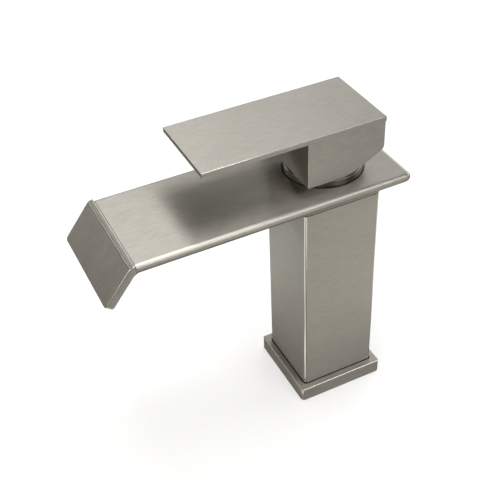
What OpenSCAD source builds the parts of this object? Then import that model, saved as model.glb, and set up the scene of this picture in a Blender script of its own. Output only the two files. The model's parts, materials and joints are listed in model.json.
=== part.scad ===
// Single-lever waterfall basin faucet
// The origin is the middle of the column on the deck. +Z is up and the spout runs along -Y.
// A square column stands in a base flange. A bonnet screwed into the column clamps the wide
// spout on top of it and holds the ceramic cartridge that the handle turns and tilts.

/* [Column] */
// Width of the column, side to side
column_w = 40; // [38.5:0.5:46]
// Depth of the column, front to back
column_d = 41.6; // [39:0.2:48]
// Height of the column casting, foot to top
column_h = 119.8; // [90:0.2:180]
// Radius of the column's upright edges
column_edge_r = 1.2; // [0.4:0.1:2.5]
// Wall of the cored column
column_wall = 2.8; // [2:0.1:4]
// Solid head of the column above the cores
column_head = 21.8; // [20:0.2:30]
// Thickness of the ribs between the cores
core_rib = 3; // [2:0.5:4]
// Radius of the corners of the cores
core_r = 2; // [0.5:0.5:3]

/* [Base flange] */
// Border of the flange beside the column
flange_border_x = 4; // [3:0.2:10]
// Border of the flange in front of and behind the column
flange_border_y = 3.8; // [3:0.2:10]
// Height of the flange
flange_h = 8.4; // [6:0.2:14]
// Floor of the flange under the column
flange_floor = 3; // [2.6:0.2:5]
// Radius of the flange's upright corners
flange_corner_r = 1.6; // [0.4:0.2:3]
// Rounding of the flange's top edges
flange_edge_r = 0.7; // [0.2:0.1:1.5]
// Diameter of the opening in the floor for the supply hoses and the stud
hose_opening_d = 31; // [30:0.5:32]
// Gap around the foot of the column
foot_gap = 0.35; // [0.2:0.05:1]
// Thickness of the seal under the column's foot
foot_seal_t = 1; // [0.6:0.1:2]
// Thickness of the gasket under the flange
deck_gasket_t = 1.4; // [1:0.1:1.8]
// Margin from the flange's side to the gasket
deck_gasket_margin = 2.6; // [2:0.1:4]
// Radius of the gasket's corners
deck_gasket_r = 4; // [1:0.5:6]

/* [Supply] */
// Distance of each supply inlet from the middle
inlet_x = 8; // [7.6:0.1:8.4]
// Place of the inlets and waterways, front to back
inlet_y = -2.4; // [-3:0.1:-2]
// Tapping diameter of the supply inlets
inlet_d = 8.9; // [8:0.1:9.4]
// Depth of the supply inlets
inlet_depth = 14; // [10:0.5:20]
// Distance of each upright waterway from the middle
riser_x = 5.6; // [5.2:0.1:6]
// Diameter of the upright waterways
riser_d = 4.8; // [4:0.1:5]
// Wall of the cast tubes around inlets and waterways
tube_wall = 2; // [1.5:0.1:2.2]
// Place of the mounting stud's hole behind the middle
stud_y = 9; // [8.5:0.1:9.6]
// Tapping diameter of the stud's hole
stud_d = 6.8; // [6:0.1:7.4]
// Depth of the stud's hole
stud_depth = 22; // [16:1:30]

/* [Spout] */
// Width of the spout
spout_w = 56.4; // [54:0.2:64]
// Thickness of the spout plate, with a full round edge
spout_t = 4.8; // [4.4:0.1:6]
// Radius of the spout's corners, seen from above
spout_corner_r = 3.2; // [3.1:0.1:5]
// Distance from the middle of the column to the crest of the weir
spout_reach = 111; // [105:0.2:150]
// Distance from the middle of the column to the rear edge
spout_back = 33.4; // [31:0.2:42]
// Height of the neck under the spout plate
neck_h = 6.6; // [6:0.2:9]
// Thickness of the gasket between the column and the neck
neck_seal_t = 0.5; // [0.3:0.1:1]
// How far that gasket stands back from the faces of the column
neck_seal_inset = 0.6; // [0.2:0.1:1]
// Length of the bent-down lip, from the crest to the tip
lip_len = 23.6; // [16:0.2:36]
// Fall of the lip below level, in degrees
lip_angle = 51.5; // [40:0.5:60]
// Radius of the crest of the weir
crest_r = 0.5; // [0.2:0.1:0.7]
// Radius of the inner bend under the lip
bend_r = 3; // [1:0.5:4]
// Width of the water slot in front of the cover
slot_w = 0.4; // [0.3:0.1:1.4]
// Length of the back slope of the weir, slot to crest
weir_len = 2.3; // [1.6:0.1:3]
// Rise of the back slope of the weir
weir_rise = 0.9; // [0.4:0.1:1.4]
// How far the crest lies below the top of the cover
crest_drop = 0.1; // [0:0.1:0.6]

/* [Waterway] */
// Width of the waterway at the column
way_w = 30; // [26:0.5:32]
// Width of the waterway at the slot
way_mouth_w = 46; // [40:0.5:47]
// Wall of the trough around the waterway
way_wall = 2; // [1.4:0.1:2.2]
// Depth of the waterway's floor under the spout plate
way_depth = 3.3; // [2.4:0.1:3.8]
// Thickness of the trough's floor
way_floor = 2; // [1.4:0.1:2.2]
// Thickness of the thin floor at the mouth
mouth_floor = 1.3; // [1:0.1:1.5]
// Where the waterway starts to flare, in front of the middle
flare_y = 50; // [44:1:56]
// Length of the level mouth behind the slot
mouth_len = 10; // [7:0.5:14]
// Thickness of the guide vanes
vane_t = 1.2; // [0.8:0.1:1.6]
// Length of the guide vanes
vane_len = 40; // [30:1:44]
// Angle of the outer guide vanes, in degrees
vane_angle = 5; // [0:0.5:6]
// Width of the cord seal around the waterway
cord_w = 1; // [0.8:0.1:1.2]
// Depth of the cord seal's groove
cord_depth = 0.8; // [0.6:0.1:1]
// Land between the waterway and the cord seal
cord_land = 1.2; // [1:0.1:1.4]

/* [Cover screws] */
// Gap between the cover screws and the cord seal or the neck
screw_gap = 0.5; // [0.4:0.05:0.8]
// Places of the middle and rear cover screws
screw_ys = [22, -30];
// Place of the front cover screws, as a share of the waterway's flare
screw_share = 0.5; // [0.4:0.02:0.54]
// Thread diameter of the cover screws
screw_d = 2.5; // [2:0.1:2.6]
// Head diameter of the cover screws
screw_head_d = 4.2; // [3.6:0.1:4.4]
// Height of the countersunk heads
screw_head_h = 1.2; // [0.8:0.1:1.4]
// Length of the cover screws
screw_len = 4; // [3.4:0.1:4]
// Width of the cross in the screw heads
cross_w = 0.6; // [0.4:0.1:0.8]
// Depth of the cross in the screw heads
cross_depth = 0.7; // [0.4:0.1:0.8]

/* [Bonnet] */
// Diameter of the round collar on top of the spout
collar_d = 40; // [37:0.2:43]
// Height of the collar above its washer
collar_h = 3.5; // [3.4:0.1:4.5]
// Rounding of the collar's top edge
collar_edge_r = 0.8; // [0.2:0.1:1.4]
// Thickness of the washer under the collar
washer_t = 0.4; // [0.2:0.1:0.8]
// How far the washer stands back under the collar
washer_inset = 0.8; // [0.4:0.1:1.4]
// Diameter of the bonnet's thread
thread_d = 32.8; // [32:0.1:33]
// Length of thread in the column
thread_len = 12.3; // [9:0.1:13]
// Wall of the bonnet at its waist
waist_wall = 2.4; // [2:0.1:2.6]
// Number of water windows in the waist
windows = 6; // [4:1:8]
// Diameter of the water windows
window_d = 4; // [3:0.1:4.4]
// Depth of the cartridge ledge below the collar's top
ledge_depth = 4.9; // [4.6:0.1:5.2]
// Width of the cartridge ledge
ledge_w = 1; // [0.8:0.1:1.2]

/* [Cartridge] */
// Diameter of the cartridge
cartridge_d = 25; // [24.6:0.1:25.2]
// Length of the cartridge under its shoulder
cartridge_len = 25.7; // [25.4:0.1:26]
// Thickness of the shoulder
shoulder_t = 2; // [1.6:0.1:2.1]
// Gap between the cartridge and its bore
cartridge_gap = 0.3; // [0.2:0.05:0.5]
// Height of the base
base_h = 11; // [10.6:0.1:11.2]
// Height of the wide foot of the base
base_foot_h = 3.5; // [3:0.1:4]
// Depth of the water passage around the cartridge
passage = 1.2; // [1:0.1:1.3]
// Height of the spigot of the base in the housing
spigot_h = 1.8; // [1.4:0.1:2]
// Wall of the housing
housing_wall = 1.4; // [1.2:0.1:1.5]
// Height of the dome above the shoulder
dome_h = 5.5; // [5.3:0.1:5.8]
// Wall of the dome
dome_wall = 0.9; // [0.7:0.1:1]
// Thickness of the roof of the dome
dome_roof = 0.7; // [0.5:0.1:0.8]
// Thickness of the ring in the housing's groove
oring_t = 1.5; // [1.3:0.1:1.6]
// Thickness of the fixed disc
fixed_disc_t = 3.5; // [3:0.1:3.6]
// Thickness of the moving disc
moving_disc_t = 3.5; // [3:0.1:3.6]
// Diameter of the moving disc
moving_disc_d = 14.8; // [14.4:0.1:15]
// Depth of the mixing pocket in the moving disc
pocket_depth = 1.6; // [1:0.1:2]
// Distance of the disc's inlet ports from the middle
port_x = 3.4; // [3.2:0.1:3.5]
// Diameter of the disc's inlet ports
port_d = 3; // [2.6:0.1:3.1]
// Place of the outlet port behind the middle
outlet_y = 3.2; // [3:0.1:3.4]
// Diameter of the outlet port
outlet_d = 4; // [3.6:0.1:4.2]
// Land behind the mixing pocket
pocket_land = 1.6; // [1.4:0.1:1.8]
// Radius of the rear corners of the mixing pocket
pocket_rear_r = 3.4; // [3.2:0.1:3.6]
// Height of the port seals
port_seal_t = 1.8; // [1.5:0.1:2]
// How far the port seals stand out of the base
port_seal_out = 1; // [0.8:0.1:1.1]
// Wall of the port seals
port_seal_wall = 1.2; // [1:0.1:1.3]
// Height of the disc carrier
carrier_h = 6; // [5.6:0.1:6.1]
// Width of the disc carrier between its flats
carrier_w = 13; // [12.6:0.1:13.1]
// Floor of the carrier under the ball
carrier_floor = 0.8; // [0.6:0.1:0.9]
// Height of the cartridge nut
nut_h = 2.7; // [2.4:0.1:2.8]
// Width of the key slots in the nut
nut_slot_w = 2.6; // [2:0.1:3]
// Depth of the key slots in the nut
nut_slot_depth = 1.2; // [0.8:0.1:1.6]

/* [Stem] */
// Depth of the lift pin below the collar's top
pivot_drop = 0.6; // [0.5:0.05:0.7]
// Lift of the handle from off to full flow, in degrees
lift = 24; // [20:1:24]
// Distance from the lift pin to the middle of the ball
arm_len = 8; // [7.8:0.1:8.1]
// Diameter of the ball at the foot of the stem
ball_d = 5.6; // [5:0.1:5.7]
// Gap around the ball
ball_gap = 0.35; // [0.3:0.05:0.4]
// Diameter of the rod above the ball
rod_d = 4.6; // [4:0.1:4.8]
// Width of the square stem
stem_w = 7.2; // [6.8:0.1:7.3]
// Height of the stem above the lift pin
stem_h = 20; // [16:0.5:21]
// Depth of the square below the lift pin
stem_foot = 3; // [2.8:0.1:3.2]
// Diameter of the lift pin
pin_d = 3; // [2.6:0.1:3.1]
// Running clearance on the radius of the lift pin
pin_clearance = 0.05; // [0.02:0.01:0.08]
// Height of the rotor's shoulder above the lift pin
rotor_top = 2.4; // [2.2:0.1:2.5]
// Height of the rotor's neck above its shoulder
rotor_neck_h = 1.8; // [1.5:0.1:2]
// Diameter of the rotor's neck
rotor_neck_d = 16.4; // [16:0.1:16.6]
// Running gap around the rotor and the moving disc
rotor_gap = 0.4; // [0.3:0.05:0.45]
// Gap beside the square stem in the rotor
stem_gap = 0.3; // [0.2:0.05:0.35]

/* [Handle] */
// Width of the handle
handle_w = 43.2; // [42:0.2:47]
// Distance from the middle to the tip of the lever
lever_reach = 72.2; // [60:0.2:100]
// Thickness of the lever plate
lever_t = 2.4; // [2:0.1:5]
// Rounding of the lever plate's edges
lever_edge_r = 0.7; // [0.2:0.1:0.9]
// Radius of the lever's corners in plan
lever_corner_r = 1; // [0.4:0.1:3]
// Distance from the middle to the front of the block
block_front = 20; // [19.6:0.1:24]
// Distance from the middle to the rear of the handle
block_back = 21; // [20:0.1:26]
// Gap between the collar and the block's underside
block_gap = 1.5; // [1.4:0.1:2.5]
// Height of the block up to the top of the lever
block_h = 26.6; // [24:0.2:34]
// How far the block's sides stand in from the lever plate's
block_inset = 0.3; // [0.1:0.1:1]
// Where the ramp under the rear of the block starts, behind the middle
ramp_y = 2.4; // [1.6:0.1:3]
// Slope of the ramp, in degrees
ramp_angle = 26.9; // [26.5:0.1:30]
// Radius between the flat underside and the ramp
ramp_r = 20; // [4:1:24]
// Radius at the rear foot of the block
rear_r = 3; // [0.5:0.5:3.5]
// Radius of the block's other edges
block_edge_r = 0.8; // [0.3:0.1:1.2]
// Fillet between the block's front and the lever plate
block_fillet_r = 1.2; // [0.4:0.1:2]
// Diameter of the hollow under the block
hollow_d = 29; // [27:0.2:33]
// Height of the hollow above the lift pin
hollow_h = 9.5; // [9.2:0.1:10]
// Fit of the stem in its socket, each side
socket_fit = 0.06; // [0.02:0.01:0.1]
// Height of the set screw above the lift pin
set_screw_z = 16.8; // [16.6:0.1:17.4]
// Diameter of the set screw
set_screw_d = 5; // [4:0.1:5.4]
// Length of the set screw
set_screw_len = 8; // [6:0.5:10]
// Width of the set screw's hexagon socket, over its corners
hex_d = 2.9; // [2.4:0.1:3.1]
// Diameter of the plug over the set screw
plug_d = 6.6; // [6:0.1:7]
// Length of the plug
plug_len = 3; // [2:0.1:4]

/* [Hidden] */
$fn = 48;

// Overrun of every cut
over = 1;
// Fit of rings and plugs that are pushed or screwed in, on the radius
snug = 0.1;
// Points on each rounded corner
corner_steps = 8;
// Points on the round of the cord seal
arc_steps = 36;

// Colours, as the finish shows them
nickel = [0.62, 0.6, 0.56];
brass = [0.72, 0.6, 0.36];
rubber = [0.08, 0.08, 0.08];
plastic = [0.85, 0.85, 0.82];
ceramic = [0.93, 0.92, 0.88];
steel = [0.7, 0.7, 0.72];

// Levels, from the deck up
foot_z = flange_floor + foot_seal_t;
column_top = foot_z + column_h;
core_roof_z = column_top - column_head;
neck_z = column_top + neck_seal_t;
plate_z = neck_z + neck_h;
spout_top = plate_z + spout_t;
edge_r = spout_t / 2;
split_z = plate_z + edge_r;
// Height inside the plate where the neck and the trough merge with it
merge_z = plate_z + edge_r / 2;
collar_z = spout_top + washer_t;
collar_top = collar_z + collar_h;
ledge_z = collar_top - ledge_depth;
pivot_z = collar_top - pivot_drop;
base_z = ledge_z - cartridge_len;
chamber_floor = base_z - port_seal_out;
disc_z = base_z + base_h;
moving_z = disc_z + fixed_disc_t;
carrier_z = moving_z + moving_disc_t;
skirt_z = disc_z - spigot_h;
nut_z = ledge_z + shoulder_t;
nut_top = nut_z + nut_h;
dome_top = nut_z + dome_h;
block_z = collar_top + block_gap;
lever_top = block_z + block_h;
lever_z = lever_top - lever_t;

// Radii of the stack around the cartridge
cartridge_r = cartridge_d / 2;
bore_r = cartridge_r + cartridge_gap;
passage_r = cartridge_r - passage;
housing_inner_r = passage_r - housing_wall;
thread_r = thread_d / 2;
neck_bore_r = thread_r + 2 * snug;
waist_r = bore_r + waist_wall;
counterbore_r = bore_r + ledge_w;
nut_r = counterbore_r - snug;
dome_r = housing_inner_r + dome_wall;
disc_r = housing_inner_r - cartridge_gap;
rotor_r = housing_inner_r - rotor_gap;
neck_hole_r = rotor_neck_d / 2 + rotor_gap;
pin_r = pin_d / 2;

// The moving disc lies half its travel behind the middle when the faucet is off
travel = arm_len * sin(lift);
disc_rest_y = travel / 2;

// Plan and side outlines of the waterway
slot_back_y = -(spout_reach - weir_len - slot_w);
slot_front_y = -(spout_reach - weir_len);
mouth_y = slot_back_y + mouth_len;
front_screw_y = -flare_y + screw_share * (mouth_y + flare_y);
screw_x = screw_gap + max(column_w / 2 + screw_head_d / 2,
                          way_half(front_screw_y) + cord_land + cord_w + screw_d / 2);
way_z = plate_z - way_depth;
mouth_z = plate_z + mouth_floor;
crest_z = spout_top - crest_drop;

// The lip: its fall, and the middle line that its side rods follow
lip_dir = [-cos(lip_angle), -sin(lip_angle)];
lip_in = [sin(lip_angle), -cos(lip_angle)];
crest = [-spout_reach, crest_z];
lip_mid = crest + lip_in * edge_r;
bend = lip_mid + lip_dir * ((lip_mid[1] - split_z) / sin(lip_angle));
tip = crest + lip_dir * (lip_len - edge_r) + lip_in * edge_r;
inner_bend = bend + edge_r * [tan(lip_angle / 2), -1];

function unit(v) = v / norm(v);

// One corner b of an outline between a and c, rounded to the radius b[2]
function corner(a, b, c) =
    let (p = [b[0], b[1]],
         u = unit([a[0], a[1]] - p),
         v = unit([c[0], c[1]] - p),
         half = acos(u * v) / 2,
         reach = b[2] / tan(half),
         m = p + unit(u + v) * (b[2] / sin(half)),
         from = p + u * reach - m,
         to = p + v * reach - m,
         start = atan2(from[1], from[0]),
         turn = atan2(to[1], to[0]) - start,
         sweep = turn > 180 ? turn - 360 : turn < -180 ? turn + 360 : turn)
    [for (i = [0 : corner_steps])
        m + b[2] * [cos(start + sweep * i / corner_steps), sin(start + sweep * i / corner_steps)]];

// Outline through the corners [x, y, radius]; a radius of 0 stays sharp
function rounded(c) =
    [for (i = [0 : len(c) - 1])
        each (c[i][2] > 0
            ? corner(c[(i + len(c) - 1) % len(c)], c[i], c[(i + 1) % len(c)])
            : [[c[i][0], c[i][1]]])];

// Rectangle from a to b with the corner radii [low left, low right, high right, high left]
function rectangle(a, b, radii) =
    rounded([[a[0], a[1], radii[0]], [b[0], a[1], radii[1]],
             [b[0], b[1], radii[2]], [a[0], b[1], radii[3]]]);

function even(r) = [r, r, r, r];

// Outline of the column, grown on every side
function column_outline(grow) =
    rectangle([-column_w / 2 - grow, -column_d / 2 - grow],
              [column_w / 2 + grow, column_d / 2 + grow],
              even(max(column_edge_r + grow, column_edge_r / 2)));

// Half width of the waterway at y, from the level run through the flare to the mouth
function way_half(y) =
    y > -flare_y ? way_w / 2
    : y < mouth_y ? way_mouth_w / 2
    : (way_w + (way_mouth_w - way_w) * (-flare_y - y) / (-flare_y - mouth_y)) / 2;

// Plan of the waterway, grown to the sides, ending at y
function way_plan(grow, y) =
    let (ys = [0, -flare_y, mouth_y, y])
    concat([for (v = ys) [way_half(v) + grow, v]],
           [for (i = [len(ys) - 1 : -1 : 0]) [-way_half(ys[i]) - grow, ys[i]]]);

// An outline drawn in Y and Z, extruded along X about the middle
module along_x(width) {
    rotate([90, 0, 90])
        linear_extrude(width, center = true)
            children();
}

// An outline drawn in X and Z, extruded along Y from the rear y back to the front y
module along_y(front, rear) {
    translate([0, rear, 0])
        rotate([90, 0, 0])
            linear_extrude(rear - front)
                children();
}

// Block from a to b: plan corners of plan_r, top edges of top_r
module slab(a, b, plan_r, top_r, low_r) {
    intersection() {
        translate([0, 0, a[2]])
            linear_extrude(b[2] - a[2])
                polygon(rectangle(a, b, even(plan_r)));
        along_x(2 * (b[0] - a[0]))
            polygon(rectangle([a[1], a[2]], [b[1], b[2]], [low_r, low_r, top_r, top_r]));
        along_y(a[1] - over, b[1] + over)
            polygon(rectangle([a[0], a[2]], [b[0], b[2]], [low_r, low_r, top_r, top_r]));
    }
}

module ring(outer_r, inner_r, z, height) {
    translate([0, 0, z])
        difference() {
            cylinder(h = height, r = outer_r);
            translate([0, 0, -over])
                cylinder(h = height + 2 * over, r = inner_r);
        }
}

// Bore of radius r from z up to top
module bore(r, z, top) {
    translate([0, 0, z])
        cylinder(h = top - z, r = r);
}

module mirror_pair() {
    children();
    mirror([1, 0, 0])
        children();
}

// Disc with a full round rim, for the corners of the sheet
module corner_disc(core) {
    rotate_extrude()
        union() {
            translate([0, -edge_r])
                square([core, spout_t]);
            intersection() {
                translate([core, 0])
                    circle(edge_r);
                translate([core, -edge_r])
                    square([edge_r + over, spout_t]);
            }
        }
}

// Sheet of the spout's thickness along +Y, full round on its long edges and at its far end
module sheet(length) {
    core = spout_corner_r - edge_r;
    half = spout_w / 2 - edge_r;
    flat = length - edge_r;
    translate([-half, 0, -edge_r])
        cube([2 * half, flat - core, spout_t]);
    translate([core - half, 0, -edge_r])
        cube([2 * (half - core), flat, spout_t]);
    mirror_pair()
        union() {
            translate([half, 0, 0])
                rotate([-90, 0, 0])
                    cylinder(h = flat - core, r = edge_r);
            translate([half - core, flat - core, 0])
                corner_disc(core);
        }
    translate([core - half, flat, 0])
        rotate([0, 90, 0])
            cylinder(h = 2 * (half - core), r = edge_r);
}

// Spout plate from the front to the rear edge
module plate_form(front) {
    translate([0, front, split_z])
        sheet(spout_back - front);
}

// Room from front to behind the spout and from low to high
module clear_room(front, low, high) {
    translate([-spout_w, front, low])
        cube([2 * spout_w, spout_back + over - front, high - low]);
}

// Room on one side of the mitre between the plate and the lip; side is 1 or -1
module mitre_room(side) {
    reach = 2 * spout_w;
    translate([0, bend[0], bend[1]])
        rotate([lip_angle / 2, 0, 0])
            translate([-reach / 2, side > 0 ? 0 : -reach, -reach / 2])
                cube([reach, reach, reach]);
}

module at_screws() {
    for (y = concat(screw_ys, [front_screw_y]))
        mirror_pair()
            translate([screw_x, y, plate_z])
                children();
}

// Room above the back slope of the weir and around its crest
module weir_room() {
    foot = [slot_front_y, crest_z - weir_rise];
    arc = corner(foot, [crest[0], crest[1], crest_r], crest + lip_dir);
    along_x(2 * spout_w)
        polygon(concat([[slot_front_y, spout_top + over], foot], arc,
                       [arc[corner_steps] - over * lip_in]));
}

module deck_gasket_form(grow) {
    half = [column_w / 2 + flange_border_x, column_d / 2 + flange_border_y];
    inset = deck_gasket_margin - grow;
    linear_extrude(deck_gasket_t + grow)
        difference() {
            polygon(rectangle([-half[0] + inset, -half[1] + inset],
                              [half[0] - inset, half[1] - inset], even(deck_gasket_r)));
            circle(hose_opening_d / 2 + deck_gasket_margin - grow);
        }
}

module deck_gasket() {
    color(rubber)
        deck_gasket_form(0);
}

module base_flange() {
    half = [column_w / 2 + flange_border_x, column_d / 2 + flange_border_y];
    color(nickel)
        difference() {
            slab([-half[0], -half[1], 0], [half[0], half[1], flange_h],
                 flange_corner_r, flange_edge_r, 0);
            translate([0, 0, flange_floor])
                linear_extrude(flange_h)
                    polygon(column_outline(foot_gap));
            bore(hose_opening_d / 2, -over, flange_h);
            translate([0, 0, -snug])
                deck_gasket_form(snug);
        }
}

module foot_seal() {
    color(rubber)
        translate([0, 0, flange_floor])
            linear_extrude(foot_seal_t)
                difference() {
                    polygon(column_outline(-foot_gap));
                    circle(hose_opening_d / 2);
                }
}

// Cast tubes, stud boss and ribs that stand in the cored column
module column_inside() {
    height = core_roof_z - foot_z + 2 * over;
    translate([0, 0, foot_z - over]) {
        mirror_pair()
            union() {
                translate([riser_x, inlet_y, 0])
                    cylinder(h = height, r = riser_d / 2 + tube_wall);
                translate([inlet_x, inlet_y, 0])
                    cylinder(h = inlet_depth + tube_wall + over, r = inlet_d / 2 + tube_wall);
            }
        translate([0, stud_y, 0])
            cylinder(h = stud_depth + tube_wall + over, r = stud_d / 2 + tube_wall);
        translate([-core_rib / 2, -column_d / 2, 0])
            cube([core_rib, column_d, height]);
        translate([-column_w / 2, inlet_y - core_rib / 2, 0])
            cube([column_w, core_rib, height]);
    }
}

module column_body() {
    core = [column_w / 2 - column_wall, column_d / 2 - column_wall];
    color(nickel)
        difference() {
            translate([0, 0, foot_z])
                linear_extrude(column_h)
                    polygon(column_outline(0));
            difference() {
                translate([0, 0, foot_z - over])
                    linear_extrude(core_roof_z - foot_z + over)
                        polygon(rectangle(-core, core, even(core_r)));
                column_inside();
            }
            bore(thread_r + snug, column_top - thread_len, column_top + over);
            bore(bore_r, chamber_floor, column_top);
            mirror_pair()
                union() {
                    translate([inlet_x, inlet_y, 0])
                        bore(inlet_d / 2, foot_z - over, foot_z + inlet_depth);
                    translate([riser_x, inlet_y, 0])
                        bore(riser_d / 2, foot_z + inlet_depth - over, chamber_floor + over);
                }
            translate([0, stud_y, 0])
                bore(stud_d / 2, foot_z - over, foot_z + stud_depth);
        }
}

module neck_seal() {
    color(rubber)
        translate([0, 0, column_top])
            linear_extrude(neck_seal_t)
                difference() {
                    polygon(column_outline(-neck_seal_inset));
                    circle(neck_bore_r);
                }
}

// Side outline of the trough: level under the neck, then rising to the plate at the mouth
module trough_form() {
    intersection() {
        along_x(2 * spout_w)
            polygon([[0, way_z - way_floor], [-flare_y, way_z - way_floor],
                     [mouth_y, plate_z], [mouth_y, merge_z], [0, merge_z]]);
        translate([0, 0, neck_z])
            linear_extrude(neck_h + over)
                polygon(way_plan(way_wall, mouth_y - over));
    }
}

// Room for the water, from the neck's bore to the slot
module waterway_form() {
    intersection() {
        along_x(2 * spout_w)
            polygon([[0, way_z], [-flare_y, way_z], [mouth_y, mouth_z],
                     [slot_front_y, mouth_z], [slot_front_y, spout_top + over],
                     [0, spout_top + over]]);
        translate([0, 0, neck_z])
            linear_extrude(neck_h + spout_t)
                polygon(way_plan(0, slot_front_y));
    }
}

// Guide vanes on the floor of the waterway, spread like a fan from the start of the flare
module vanes() {
    for (side = [-1, 0, 1])
        translate([side * way_w / 4, -flare_y, way_z - over])
            rotate([0, 0, side * vane_angle])
                translate([-vane_t / 2, -vane_len, 0])
                    cube([vane_t, vane_len, split_z - way_z + over]);
}

// One edge of the cord: from the mouth along the waterway, round the neck's bore and back
function cord_edge(grow) =
    let (r = neck_bore_r + cord_land + grow,
         leg = way_w / 2 + cord_land + grow,
         foot = way_mouth_w / 2 + cord_land + grow,
         dip = acos(leg / r))
    concat([[foot, mouth_y], [leg, -flare_y]],
           [for (i = [0 : arc_steps])
               let (t = -dip + (180 + 2 * dip) * i / arc_steps) r * [cos(t), sin(t)]],
           [[-leg, -flare_y], [-foot, mouth_y]]);

module cord_form() {
    inner = cord_edge(0);
    translate([0, 0, split_z - cord_depth])
        linear_extrude(cord_depth)
            polygon(concat(cord_edge(cord_w), [for (i = [len(inner) - 1 : -1 : 0]) inner[i]]));
}

module spout_tray() {
    color(nickel)
        difference() {
            union() {
                difference() {
                    plate_form(bend[0] - edge_r);
                    mitre_room(-1);
                }
                translate([0, 0, neck_z])
                    linear_extrude(merge_z - neck_z)
                        polygon(column_outline(0));
                trough_form();
            }
            clear_room(slot_front_y, split_z, spout_top + over);
            weir_room();
            difference() {
                waterway_form();
                vanes();
            }
            bore(neck_bore_r, neck_z - over, spout_top);
            cord_form();
            at_screws() {
                translate([0, 0, -over])
                    cylinder(h = spout_t, r = screw_d / 2 + snug);
                cylinder(h = screw_head_h + snug, r1 = screw_head_d / 2 + snug,
                         r2 = screw_d / 2 + snug);
            }
        }
}

// Bent-down lip, mitred and soldered to the front of the tray, with a fillet behind the joint
module spout_lip() {
    fillet = corner(inner_bend + [spout_t, 0], [inner_bend[0], inner_bend[1], bend_r],
                    inner_bend + lip_dir);
    color(nickel)
        union() {
            difference() {
                translate([0, bend[0], bend[1]])
                    rotate([180 + lip_angle, 0, 0])
                        translate([0, -edge_r, 0])
                            sheet(norm(tip - bend) + spout_t);
                mitre_room(1);
                weir_room();
            }
            along_x(spout_w - 2 * spout_corner_r)
                polygon(concat(fillet, [inner_bend + edge_r * (lip_dir - lip_in), inner_bend]));
        }
}

module cord_seal() {
    color(rubber)
        cord_form();
}

module spout_cover() {
    color(nickel)
        difference() {
            plate_form(slot_back_y);
            clear_room(slot_back_y - over, plate_z - over, split_z);
            bore(neck_bore_r, plate_z, spout_top + over);
            at_screws()
                cylinder(h = screw_len + snug, r = screw_d / 2 + snug);
        }
}

module cover_screws() {
    color(steel)
        at_screws()
            difference() {
                union() {
                    cylinder(h = screw_head_h, r1 = screw_head_d / 2, r2 = screw_d / 2);
                    cylinder(h = screw_len, r = screw_d / 2);
                }
                for (turn = [0, 90])
                    rotate([0, 0, turn])
                        translate([-screw_d / 2, -cross_w / 2, -over])
                            cube([screw_d, cross_w, cross_depth + over]);
            }
}

module collar_washer() {
    color(rubber)
        ring(collar_d / 2 - washer_inset, neck_bore_r, spout_top, washer_t);
}

// Half profile of the bonnet: collar, thread, waist and thread again, around the bore
module bonnet() {
    low = column_top - thread_len + washer_t;
    waist_low = neck_z + washer_t;
    waist_high = split_z;
    color(nickel)
        difference() {
            rotate_extrude()
                polygon(rounded([
                    [bore_r, low, 0],
                    [thread_r, low, 0],
                    [thread_r, waist_low, 0],
                    [waist_r, waist_low, 0],
                    [waist_r, waist_high, 0],
                    [thread_r, waist_high, 0],
                    [thread_r, collar_z, 0],
                    [collar_d / 2, collar_z, 0],
                    [collar_d / 2, collar_top, collar_edge_r],
                    [counterbore_r, collar_top, 0],
                    [counterbore_r, ledge_z, 0],
                    [bore_r, ledge_z, 0]]));
            for (i = [0 : windows - 1])
                rotate([0, 0, 360 * i / windows])
                    translate([0, 0, (waist_low + waist_high) / 2])
                        rotate([90, 0, 0])
                            cylinder(h = thread_r, r = window_d / 2);
        }
}

module cartridge_base() {
    stage = base_h / 2;
    color(plastic)
        difference() {
            union() {
                bore(cartridge_r, base_z, base_z + base_foot_h);
                bore(passage_r, base_z, skirt_z);
                bore(disc_r, base_z, disc_z);
            }
            mirror_pair()
                union() {
                    translate([riser_x, inlet_y, 0]) {
                        bore(riser_d / 2, base_z - over, base_z + stage);
                        bore(riser_d / 2 + port_seal_wall + snug, base_z - over,
                             base_z + port_seal_t - port_seal_out);
                    }
                    translate([port_x, inlet_y, 0])
                        bore(port_d / 2, base_z + stage - over, disc_z + over);
                }
            translate([0, outlet_y, 0])
                bore(outlet_d / 2, base_z + stage, disc_z + over);
            translate([0, cartridge_r, base_z + stage + outlet_d / 2])
                rotate([90, 0, 0])
                    cylinder(h = cartridge_r - outlet_y, r = outlet_d / 2);
        }
}

module port_seals() {
    color(rubber)
        mirror_pair()
            translate([riser_x, inlet_y, 0])
                ring(riser_d / 2 + port_seal_wall, riser_d / 2, chamber_floor, port_seal_t);
}

module fixed_disc() {
    color(ceramic)
        difference() {
            bore(disc_r, disc_z, moving_z);
            mirror_pair()
                translate([port_x, inlet_y, 0])
                    bore(port_d / 2, disc_z - over, moving_z + over);
            translate([0, outlet_y, 0])
                bore(outlet_d / 2, disc_z - over, moving_z + over);
        }
}

// Ceramic disc whose pocket joins the inlets to the outlet as it slides forward
module moving_disc() {
    pocket_front = inlet_y + port_d / 2 + ball_gap;
    pocket_rear = disc_rest_y + moving_disc_d / 2 - pocket_land;
    pocket_half = port_x + port_d / 2;
    color(ceramic)
        difference() {
            translate([0, disc_rest_y, 0])
                bore(moving_disc_d / 2, moving_z, carrier_z);
            translate([0, 0, moving_z - over])
                linear_extrude(pocket_depth + over)
                    polygon(rectangle([-pocket_half, pocket_front], [pocket_half, pocket_rear],
                                      [port_d / 2, port_d / 2, pocket_rear_r, pocket_rear_r]));
        }
}

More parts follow.
